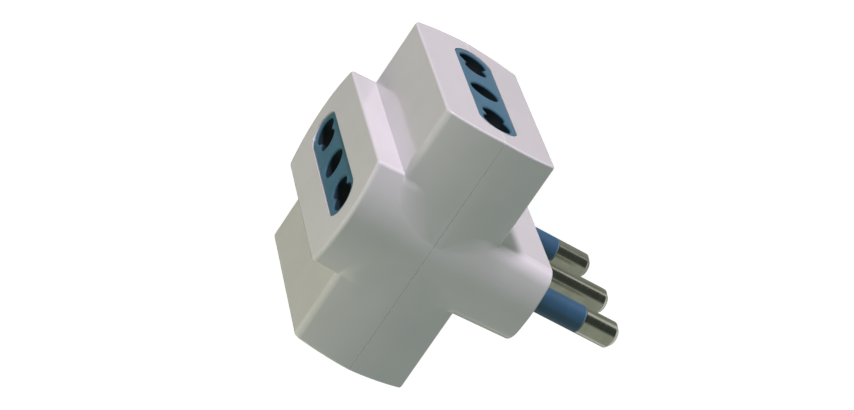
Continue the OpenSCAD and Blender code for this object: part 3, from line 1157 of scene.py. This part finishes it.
@dataclass
class SocketInsert:
    """Blue insert of one socket, with five holes in a row."""

    width: float = 7.4
    recess: float = 0.2
    plate_depth: float = 2.078
    flange_lip: float = 1.4
    flange_t: float = 1.5
    well_depth: float = 9.5
    well_wall: float = 1.0
    outer_r: float = 2.65
    inner_r: float = 2.15
    middle_r: float = 2.75
    outer_pitch: float = 13.0
    inner_pitch: float = 9.5
    bevel: float = 0.3
    mouth_share: Pair = (0.4, 0.3)
    rim: float = 0.12
    plate_root: float = 0.7
    well_root: float = 0.3
    slot_steps: int = 32

    def _slot(self, radius: float, stops: Sequence[Pair]) -> bpy.types.Object:
        """Build a slot-shaped plate.

        Args:
            radius: Half its width.
            stops: Depth of each outline and how far it is inset there.

        Returns:
            The solid.
        """
        rings = []
        for y, inwards in stops:
            outline = stadium_outline(radius - inwards, self.outer_pitch, self.slot_steps)
            rings.append([(x, y, z) for x, z in outline])
        return loft("slot", rings)

    def _holes(self) -> list[Pair]:
        """List the holes.

        Returns:
            The place along Z and the radius of each hole.
        """
        return [
            (-self.outer_pitch, self.outer_r),
            (-self.inner_pitch, self.inner_r),
            (0.0, self.middle_r),
            (self.inner_pitch, self.inner_r),
            (self.outer_pitch, self.outer_r),
        ]

    def _turned(self, z: float, profile: Sequence[Pair]) -> bpy.types.Object:
        """Build a turned solid.

        Args:
            z: Height of its axis.
            profile: Radius and depth of each corner.

        Returns:
            The solid.
        """
        made = lathe("turned", profile, HOLE_STEPS)
        made.data.transform(Matrix.Translation((0, 0, z)))
        return made

    def _well(self, z: float, radius: float) -> bpy.types.Object:
        """Build the tube round one hole, still filled.

        Args:
            z: Height of the hole.
            radius: Radius of the hole.

        Returns:
            The solid.
        """
        outer = radius + self.well_wall
        low, high = self.plate_depth + self.well_root, self.well_depth
        return self._turned(z, [(0, low), (outer, low), (outer, high), (0, high)])

    def _hole(self, z: float, radius: float) -> bpy.types.Object:
        """Build the solid that cuts one hole and its bevelled mouth.

        Args:
            z: Height of the hole.
            radius: Radius of the hole.

        Returns:
            The cutter.
        """
        top, end = self.recess, self.well_depth + OVER
        across, down = self.mouth_share
        mouth = radius + self.bevel
        return self._turned(
            z,
            [
                (0, top - OVER),
                (mouth + OVER, top - OVER),
                (mouth, top),
                (radius + across * self.bevel, top + down * self.bevel),
                (radius, top + self.bevel),
                (radius, end),
                (0, end),
            ],
        )

    def build(self, housing: Housing, station: Station, material: bpy.types.Material) -> None:
        """Build and dress the insert of one socket.

        Args:
            housing: Housing that holds it.
            station: Which socket.
            material: Its material.
        """
        top = self.recess
        plate = self._slot(
            self.width / 2,
            [
                (top, self.rim),
                (top + ROUND_SHARE * self.rim, ROUND_SHARE * self.rim),
                (top + self.rim, 0.0),
                (self.plate_depth + self.plate_root, 0.0),
            ],
        )
        flange = self._slot(
            self.width / 2 + self.flange_lip,
            [(self.plate_depth, 0.0), (self.plate_depth + self.flange_t, 0.0)],
        )
        wells = [self._well(z, radius) for z, radius in self._holes()]
        insert = combine(plate, [flange, *wells], Cut.JOIN)
        combine(insert, [self._hole(z, radius) for z, radius in self._holes()], Cut.REMOVE)
        insert.data.transform(socket_place(housing, station))
        insert.name = f"{station.value}_socket_insert"
        finish_piece(insert, material, [f"{station.value}_insert"])


@dataclass
class PlugPins:
    """Three turned pins, the outer two with an insulating sleeve.

    foot_curve and face_curve round the two corners of a pin's conical tip: each pair is a step
    outwards and a step along the pin from the sharp corner, in units of tip_round.
    """

    radius: float = 2.5
    length: float = 19.0
    middle_extra: float = 0.9
    pitch: float = 13.0
    tip_slope: float = 1.0
    tip_face_r: float = 1.7
    tip_round: float = 0.2
    sleeve_length: float = 11.6
    sleeve_wall: float = 0.5
    seat_r: float = 2.3
    collar_r: float = 3.7
    collar_y: float = -3.8
    collar_t: float = 1.2
    plug_wall: float = 2.6
    bus_front_y: float = -16.0
    bus_rear_y: float = -15.0
    tail_r: float = 1.4
    head_h: float = 0.7
    head_over: float = 0.7
    head_edge: float = 0.2
    clip_t: float = 0.6
    sleeve_edge: float = 0.18
    steps: int = 128
    foot_curve: tuple[Pair, ...] = ((0.0, -0.75), (-0.12, -0.2), (-0.6, 0.6))
    face_curve: tuple[Pair, ...] = ((0.5, -1.5), (-0.2, -0.8), (-1.0, -0.3), (-2.2, -0.06), (-4.0, 0.0))

    def _pin(self, name: str, length: float, neck_r: float, seat: float) -> bpy.types.Object:
        """Turn one pin.

        Args:
            name: Name of the piece.
            length: Length beyond the plug's face.
            neck_r: Radius of the thinner stretch behind the seat.
            seat: Height at which the full radius starts.

        Returns:
            The pin on the Y axis.
        """
        low = self.bus_front_y - self.clip_t - self.head_h
        head = self.tail_r + self.head_over
        profile = [
            (0, low),
            (head - self.head_edge, low),
            (head, low + self.head_edge),
            (head, low + self.head_h),
            (self.tail_r, low + self.head_h),
            (self.tail_r, self.bus_rear_y),
            (self.radius, self.bus_rear_y),
            (self.radius, self.collar_y),
            (self.collar_r, self.collar_y),
            (self.collar_r, self.collar_y + self.collar_t),
            (neck_r, self.collar_y + self.collar_t),
            (neck_r, seat),
            (self.radius, seat),
        ]
        foot, soft = length - self.tip_slope, self.tip_round
        profile += [(self.radius + soft * out, foot + soft * along) for out, along in self.foot_curve]
        profile += [(self.tip_face_r + soft * out, length + soft * along) for out, along in self.face_curve]
        return lathe(name, [*profile, (0, length)], self.steps)

    def _sleeve(self, name: str) -> bpy.types.Object:
        """Turn one sleeve, with a small round edge at its end.

        Args:
            name: Name of the piece.

        Returns:
            The sleeve on the Y axis.
        """
        inner, end = self.radius - self.sleeve_wall, self.sleeve_length
        edge = self.sleeve_edge
        profile = [
            (inner, -self.plug_wall),
            (self.seat_r, -self.plug_wall),
            (self.seat_r, 0),
            (self.radius, 0),
            (self.radius, end - edge),
            (self.radius - ROUND_SHARE * edge, end - ROUND_SHARE * edge),
            (self.radius - edge, end),
            (inner, end),
            (inner, -self.plug_wall),
        ]
        return lathe(name, profile, self.steps)

    def build(self, metal: bpy.types.Material, plastic: bpy.types.Material) -> None:
        """Build and dress the pins and their sleeves.

        Args:
            metal: Material of the pins.
            plastic: Material of the sleeves.
        """
        middle = self._pin("middle_pin", self.length + self.middle_extra, self.seat_r, 0.0)
        finish_piece(middle, metal, ["earth_pin"])
        inner = self.radius - self.sleeve_wall
        for word, sign in (("live", -1), ("neutral", 1)):
            place = Matrix.Translation((0, 0, sign * self.pitch))
            pin = self._pin(f"{word}_plug_pin", self.length, inner, self.sleeve_length)
            pin.data.transform(place)
            finish_piece(pin, metal, [f"{word}_pin"])
            sleeve = self._sleeve(f"{word}_plug_sleeve")
            sleeve.data.transform(place)
            finish_piece(sleeve, plastic, [f"{word}_sleeve"])


class Pattern(NodeTree):
    """A Geometry Nodes tree that makes a repeated fastener."""

    def __init__(self, name: str, sizes: dict[str, float]) -> None:
        """Start a tree with named inputs.

        Args:
            name: Name of the tree.
            sizes: Name and default of each size, in millimetres.
        """
        super().__init__(bpy.data.node_groups.new(name, "GeometryNodeTree"))
        sockets = self.tree.interface
        sockets.new_socket("Geometry", in_out="OUTPUT", socket_type="NodeSocketGeometry")
        for label, value in sizes.items():
            socket = sockets.new_socket(label, in_out="INPUT", socket_type="NodeSocketFloat")
            socket.default_value = value
        self.source = self.add("NodeGroupInput")
        self.sizes = sizes

    def size(self, label: str) -> bpy.types.NodeSocket:
        """Return the input socket of a size."""
        return self.source.outputs[label]

    def math(self, operation: str, first: Any, second: Any) -> bpy.types.NodeSocket:
        """Return the result of a Math node."""
        return self.add("ShaderNodeMath", {"operation": operation}, {0: first, 1: second}).outputs[0]

    def vector(self, x: Any, y: Any, z: Any) -> bpy.types.NodeSocket:
        """Return a vector of three values or sockets."""
        return self.add("ShaderNodeCombineXYZ", {}, {0: x, 1: y, 2: z}).outputs[0]

    def disc(self, bottom_r: Any, top_r: Any, depth: Any, low: Any) -> bpy.types.NodeSocket:
        """Return a closed cone along Z.

        Args:
            bottom_r: Radius at its foot.
            top_r: Radius at its top.
            depth: Height.
            low: Place of its foot.

        Returns:
            The mesh socket.
        """
        cone = self.add(
            "GeometryNodeMeshCone",
            {"fill_type": "NGON"},
            {
                "Vertices": FASTENER_STEPS,
                "Radius Top": top_r,
                "Radius Bottom": bottom_r,
                "Depth": depth,
            },
        )
        return self.raised(cone.outputs[0], low)

    def block(self, x: Any, y: Any, z: Any, height: Any) -> bpy.types.NodeSocket:
        """Return a box that is centred at a height along Z."""
        cube = self.add("GeometryNodeMeshCube", {}, {"Size": self.vector(x, y, z)})
        return self.raised(cube.outputs[0], height)

    def raised(self, mesh: bpy.types.NodeSocket, height: Any) -> bpy.types.NodeSocket:
        """Return a mesh moved along Z.

        Args:
            mesh: Mesh socket.
            height: How far it is moved.

        Returns:
            The mesh socket.
        """
        moved = self.add(
            "GeometryNodeTransform",
            {},
            {"Geometry": mesh, "Translation": self.vector(0.0, 0.0, height)},
        )
        return moved.outputs[0]

    def solid(
        self,
        cut: Cut,
        first: bpy.types.NodeSocket,
        others: Sequence[bpy.types.NodeSocket],
    ) -> bpy.types.NodeSocket:
        """Return solids that are joined or removed.

        Args:
            cut: What is done.
            first: Base of a removal, or one more solid of a join.
            others: The other solids.

        Returns:
            The mesh socket.
        """
        node = self.add("GeometryNodeMeshBoolean", {"operation": cut.value, "solver": "MANIFOLD"})
        if cut is Cut.REMOVE:
            self.tree.links.new(first, node.inputs[0])
        else:
            others = [first, *others]
        for other in others:
            self.tree.links.new(other, node.inputs[1])
        return node.outputs[0]

    def spread(
        self,
        solid: bpy.types.NodeSocket,
        points: bpy.types.NodeSocket,
        material: bpy.types.Material,
    ) -> None:
        """Repeat a solid at points, turn its Z axis to Y, and end the tree.

        Args:
            solid: Solid along Z.
            points: Points in the frame's axes.
            material: Material of the result.
        """
        placed = self.add(
            "GeometryNodeInstanceOnPoints",
            {},
            {"Points": points, "Instance": solid, "Rotation": (math.radians(-90), 0.0, 0.0)},
        )
        real = self.add("GeometryNodeRealizeInstances", {}, {"Geometry": placed.outputs[0]})
        dressed = self.add("GeometryNodeSetMaterial", {}, {"Geometry": real.outputs[0], "Material": material})
        self.add("NodeGroupOutput", {}, {0: dressed.outputs[0]})

    def run(self, name: str) -> bpy.types.Object:
        """Evaluate the tree with its sizes.

        Args:
            name: Name of the object.

        Returns:
            An object with a plain mesh.
        """
        piece = new_object(name, bpy.data.meshes.new(name))
        step = piece.modifiers.new("pattern", "NODES")
        step.node_group = self.tree
        for item in self.tree.interface.items_tree:
            if item.in_out == "INPUT" and item.name in self.sizes:
                step[item.identifier] = self.sizes[item.name]
        bake(piece)
        return piece


@dataclass
class ContactRivets:
    """Six hollow rivets that fix the side clips to the busbars."""

    place_x: float = 8.4
    pitch: float = 13.0
    body_r: float = 1.0
    head_r: float = 1.6
    head_h: float = 0.7
    head_taper: float = 0.9
    bore_share: float = 0.5
    low: float = -17.3
    high: float = -14.3

    def build(self, material: bpy.types.Material) -> None:
        """Build and dress the rivets.

        Args:
            material: Their material.
        """
        sizes = {
            "Body radius": self.body_r,
            "Head radius": self.head_r,
            "Head height": self.head_h,
            "Length": self.high - self.low,
            "Spread X": 2 * self.place_x,
            "Spread Z": 2 * self.pitch,
        }
        tree = Pattern("rivet_pattern", sizes)
        shank, head = tree.size("Body radius"), tree.size("Head radius")
        height, length = tree.size("Head height"), tree.size("Length")
        tapered = tree.math("MULTIPLY", head, self.head_taper)
        upper = tree.math("SUBTRACT", length, height)
        heads = [tree.disc(tapered, head, height, 0.0), tree.disc(head, tapered, height, upper)]
        body = tree.solid(Cut.JOIN, tree.disc(shank, shank, length, 0.0), heads)
        bore_r = tree.math("MULTIPLY", shank, self.bore_share)
        bore = tree.disc(bore_r, bore_r, tree.math("ADD", length, 2 * OVER), -OVER)
        rivet = tree.solid(Cut.REMOVE, body, [bore])
        grid = tree.add(
            "GeometryNodeMeshGrid",
            {},
            {
                "Size X": tree.size("Spread X"),
                "Size Y": tree.size("Spread Z"),
                "Vertices X": 2,
                "Vertices Y": 3,
            },
        )
        upright = tree.add(
            "GeometryNodeTransform",
            {},
            {
                "Geometry": grid.outputs[0],
                "Rotation": (math.radians(90), 0.0, 0.0),
                "Translation": (0.0, self.low, 0.0),
            },
        )
        tree.spread(rivet, upright.outputs[0], material)
        nodes = [f"{pole}_{side}_eyelet" for pole in POLES for side in ("left", "right")]
        finish_piece(tree.run("contact_rivets"), material, nodes)


@dataclass
class HousingScrews:
    """Two screws with a cross recess that hold the covers together."""

    place_x: float = 11.0
    place_z: float = 5.05
    seat: float = -12.7
    head_r: float = 2.0
    head_h: float = 1.3
    shank_r: float = 0.85
    length: float = 16.0
    recess: float = 0.5
    recess_span: float = 1.15
    rim_share: float = 0.6
    dome_share: float = 0.4
    dome_taper: float = 0.75
    point_taper: float = 0.6
    point_length: float = 2.0
    shank_over: float = 0.5

    def build(self, material: bpy.types.Material) -> None:
        """Build and dress the screws.

        Args:
            material: Their material.
        """
        sizes = {
            "Head radius": self.head_r,
            "Head height": self.head_h,
            "Shank radius": self.shank_r,
            "Length": self.length,
            "Recess width": self.recess,
            "Place X": self.place_x,
            "Place Z": self.place_z,
        }
        tree = Pattern("screw_pattern", sizes)
        head, height = tree.size("Head radius"), tree.size("Head height")
        shank, length = tree.size("Shank radius"), tree.size("Length")
        rim = tree.math("MULTIPLY", height, self.rim_share)
        dome = tree.math("MULTIPLY", height, self.dome_share)
        dome_r = tree.math("MULTIPLY", head, self.dome_taper)
        point_r = tree.math("MULTIPLY", shank, self.point_taper)
        shank_length = tree.math("SUBTRACT", length, self.point_length - self.shank_over)
        body = tree.solid(
            Cut.JOIN,
            tree.disc(head, head, rim, length),
            [
                tree.disc(head, dome_r, dome, tree.math("ADD", length, rim)),
                tree.disc(point_r, shank, self.point_length, 0.0),
                tree.disc(shank, shank, shank_length, self.point_length),
            ],
        )
        top = tree.math("ADD", length, height)
        span = tree.math("MULTIPLY", head, self.recess_span)
        width = tree.size("Recess width")
        cross = [tree.block(span, width, height, top), tree.block(width, span, height, top)]
        screw = tree.solid(Cut.REMOVE, body, cross)
        y = self.seat - self.length
        x, z = tree.size("Place X"), tree.size("Place Z")
        start = tree.vector(tree.math("MULTIPLY", x, -1.0), y, tree.math("MULTIPLY", z, -1.0))
        line = tree.add(
            "GeometryNodeMeshLine",
            {"mode": "END_POINTS"},
            {"Count": 2, "Start Location": start, "Offset": tree.vector(x, y, z)},
        )
        tree.spread(screw, line.outputs[0], material)
        finish_piece(tree.run("housing_screws"), material, ["left_screw", "right_screw"])


@dataclass
class PackedPieces:
    """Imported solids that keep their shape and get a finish."""

    strips: tuple[str, ...] = (
        *(f"{pole}_busbar" for pole in POLES),
        *(f"{pole}_{station.value}_clip" for pole in POLES for station in Station),
    )

    def dress(
        self,
        nodes: dict[str, bpy.types.Object],
        brass: bpy.types.Material,
        carrier: bpy.types.Material,
    ) -> None:
        """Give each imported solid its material.

        Args:
            nodes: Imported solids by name.
            brass: Material of the contact strips.
            carrier: Material of the pin carrier.
        """
        for name in (*self.strips, "pin_carrier"):
            mesh = nodes[name].data
            mesh.materials.clear()
            mesh.materials.append(carrier if name == "pin_carrier" else brass)
            log.info("%s keeps its packed solid", name)


# Studio


def shown_directly(graph: Graph, path: bpy.types.Node) -> Signal:
    """Return which rays show the white background.

    Args:
        graph: Graph of the floor or the sky.
        path: Its Light Path node.

    Returns:
        1 for camera and transmission rays and 0 for the others.
    """
    camera, through = path.outputs["Is Camera Ray"], path.outputs["Is Transmission Ray"]
    return Signal(graph, camera) + Signal(graph, through)


@dataclass(frozen=True)
class PaintedFloorReflection:
    """Tones of the floor as reflections show it.

    deep and middle lie behind the object along -X, beside lies under it and along +X, front
    along -Y and beyond along +Y. Each band gives the two places between which one tone passes
    into the next, in metres.
    """

    deep: Colour = (0.02, 0.03, 0.02)
    middle: Colour = (0.17, 0.18, 0.12)
    beside: Colour = (0.26, 0.275, 0.245)
    front: Colour = (0.06, 0.08, 0.06)
    beyond: Colour = (0.62, 0.64, 0.60)
    middle_band: Pair = (-0.25, -0.05)
    beside_band: Pair = (-0.05, -0.01)
    front_band: Pair = (-0.045, -0.020)
    beyond_band: Pair = (0.035, 0.070)

    def tint(self, graph: Graph) -> bpy.types.NodeSocket:
        """Return the tone over the floor.

        Args:
            graph: Graph of the floor's material.

        Returns:
            The colour socket.
        """
        x, y, _ = graph.axes()
        tone = graph.blend(x.ramp(*self.middle_band), self.deep, self.middle)
        tone = graph.blend(x.ramp(*self.beside_band), tone, self.beside)
        tone = graph.blend(y.ramp(*self.front_band), self.front, tone)
        return graph.blend(y.ramp(*self.beyond_band), tone, self.beyond)


@dataclass(frozen=True)
class Softbox:
    """A square area lamp that faces the object. Reflections show it where mirrored is set."""

    name: str
    direction: Point
    distance: float
    size: float
    power: float
    colour: Colour
    mirrored: bool = True

    def place(self, aim: Vector) -> None:
        """Put the lamp up.

        Args:
            aim: Point that it faces, in metres.
        """
        lamp = bpy.data.lights.new(self.name, "AREA")
        lamp.size, lamp.energy, lamp.color = self.size, self.power, self.colour
        made = bpy.data.objects.new(self.name, lamp)
        bpy.context.scene.collection.objects.link(made)
        away = Vector(self.direction).normalized()
        made.location = aim + away * self.distance
        made.rotation_mode = "QUATERNION"
        made.rotation_quaternion = away.to_track_quat("Z", "Y")
        made.visible_glossy = self.mirrored


@dataclass
class Studio:
    """White surroundings, soft lamps and the photograph's camera.

    The camera sees the sky and the floor as white, and reflections see them darker, with painted tones on the
    floor and a painted dark patch in the sky.
    """

    floor_z: float = -0.02135
    floor_size: float = 3.0
    floor_colour: Colour = (0.8, 0.8, 0.8)
    floor_glow: float = 0.78
    painted_floor_reflection: PaintedFloorReflection = PaintedFloorReflection()
    aim: Point = (0.0, -0.012, 0.0)
    lens: float = 117.6
    sensor: float = 36.0
    clip: Pair = (0.01, 20.0)
    camera_place: Point = (-0.148023, -0.187517, 0.428704)
    right: Point = (-0.53941, 0.829974, 0.142058)
    down: Point = (0.78535, 0.435026, 0.440429)
    view: Point = (0.303746, 0.349137, -0.886477)
    sky: Colour = (0.90, 1.0, 0.92)
    sky_strength: float = 0.305
    # Sky as reflections see it: its grey tone, with a painted dark patch round dark_way
    sky_tone: Colour = (0.30, 0.33, 0.27)
    painted_dark_reflection: Colour = (0.035, 0.045, 0.035)
    dark_way: Point = (-0.841, 0.349, 0.412)
    dark_band: Pair = (0.65, 0.83)
    softboxes: tuple[Softbox, ...] = (
        Softbox("side_lamp", (-0.97, -0.24, 0.03), 1.0, 0.12, 9.3, (0.94, 0.81, 0.96)),
        Softbox("front_fill", (0.66, -0.75, -0.08), 0.20, 0.15, 0.29, (1.0, 0.95, 0.73), False),
    )

    def camera(self) -> None:
        """Create the camera at the photograph's viewpoint."""
        data = bpy.data.cameras.new("camera")
        data.lens, data.sensor_width = self.lens, self.sensor
        data.clip_start, data.clip_end = self.clip
        made = bpy.data.objects.new("camera", data)
        bpy.context.scene.collection.objects.link(made)
        axes = Matrix((self.right, [-v for v in self.down], [-v for v in self.view])).transposed()
        made.matrix_world = Matrix.Translation(self.camera_place) @ axes.to_4x4()
        bpy.context.scene.camera = made

    def world(self) -> None:
        """Light the scene from a soft grey sky, white to the camera and darker in reflections, where a
        painted dark patch shows.
        """
        world = bpy.data.worlds.new("studio_sky")
        bpy.context.scene.world = world
        world.use_nodes = True
        graph = Graph(world.node_tree)
        path = graph.add("ShaderNodeLightPath")
        way = graph.add("ShaderNodeTexCoord").outputs["Generated"]
        towards = graph.add(
            "ShaderNodeVectorMath",
            {"operation": "DOT_PRODUCT"},
            {0: way, 1: Vector(self.dark_way).normalized()},
        )
        # Painted reflection: a dark patch that only glossy rays see
        dark = Signal(graph, towards.outputs["Value"]).ramp(*self.dark_band)
        mirrored = graph.blend(dark, self.sky_tone, self.painted_dark_reflection)
        ambient = graph.add(
            "ShaderNodeBackground", {}, {"Color": self.sky, "Strength": self.sky_strength}
        )
        glossy = graph.add("ShaderNodeBackground", {}, {"Color": mirrored, "Strength": 1.0})
        white = graph.add("ShaderNodeBackground", {}, {"Color": WHITE, "Strength": 1.0})
        seen = graph.add(
            "ShaderNodeMixShader",
            {},
            {0: path.outputs["Is Glossy Ray"], 1: ambient.outputs[0], 2: glossy.outputs[0]},
        )
        direct = shown_directly(graph, path)
        shown = graph.add("ShaderNodeMixShader", {}, {0: direct, 1: seen.outputs[0], 2: white.outputs[0]})
        graph.add("ShaderNodeOutputWorld", {}, {"Surface": shown.outputs[0]})

    def floor(self) -> None:
        """Lay a pale floor that shows white and keeps the object's shadow, while reflections see its painted
        tones.
        """
        work = bmesh.new()
        bmesh.ops.create_grid(work, x_segments=1, y_segments=1, size=self.floor_size)
        bmesh.ops.translate(work, verts=work.verts, vec=(0, 0, self.floor_z))
        mesh = bpy.data.meshes.new("floor")
        work.to_mesh(mesh)
        work.free()
        floor = new_object("floor", mesh)
        material = bpy.data.materials.new("pale_floor")
        material.use_nodes = True
        graph = Graph(material.node_tree)
        path = graph.add("ShaderNodeLightPath")
        strength = shown_directly(graph, path) * self.floor_glow
        # Painted reflections: glossy rays see painted tones of shade and shadow, not the lit floor
        mirrored = self.painted_floor_reflection.tint(graph)
        matt = graph.add("ShaderNodeBsdfDiffuse", {}, {"Color": self.floor_colour})
        glow = graph.add("ShaderNodeEmission", {}, {"Color": WHITE, "Strength": strength})
        both = graph.add("ShaderNodeAddShader", {}, {0: matt.outputs[0], 1: glow.outputs[0]})
        glossy = graph.add("ShaderNodeEmission", {}, {"Color": mirrored, "Strength": 1.0})
        shown = graph.add(
            "ShaderNodeMixShader",
            {},
            {0: path.outputs["Is Glossy Ray"], 1: both.outputs[0], 2: glossy.outputs[0]},
        )
        graph.add("ShaderNodeOutputMaterial", {}, {"Surface": shown.outputs[0]})
        mesh.materials.append(material)

    def lamps(self) -> None:
        """Put up the soft lamps."""
        for softbox in self.softboxes:
            softbox.place(Vector(self.aim))

    def build(self) -> None:
        """Set up the camera, the sky, the floor and the lamps."""
        self.camera()
        self.world()
        self.floor()
        self.lamps()
        bpy.context.scene.view_settings.view_transform = "Standard"


def main() -> None:
    """Load the frame, build every piece and set up the studio."""
    logging.basicConfig(level=logging.INFO, format="%(name)s: %(message)s")
    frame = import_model()
    brass = STRIP_BRASS.make()
    insert_plastic = INSERT_PLASTIC.make()
    housing = Housing()
    housing.build(HOUSING_PLASTIC.make())
    for station in Station:
        SocketInsert().build(housing, station, insert_plastic)
    PlugPins().build(NICKEL.make(), SLEEVE_PLASTIC.make())
    ContactRivets().build(brass)
    HousingScrews().build(ZINC.make())
    PackedPieces().dress(frame["nodes"], brass, CARRIER_PLASTIC.make())
    Studio().build()


if __name__ == "__main__":
    main()
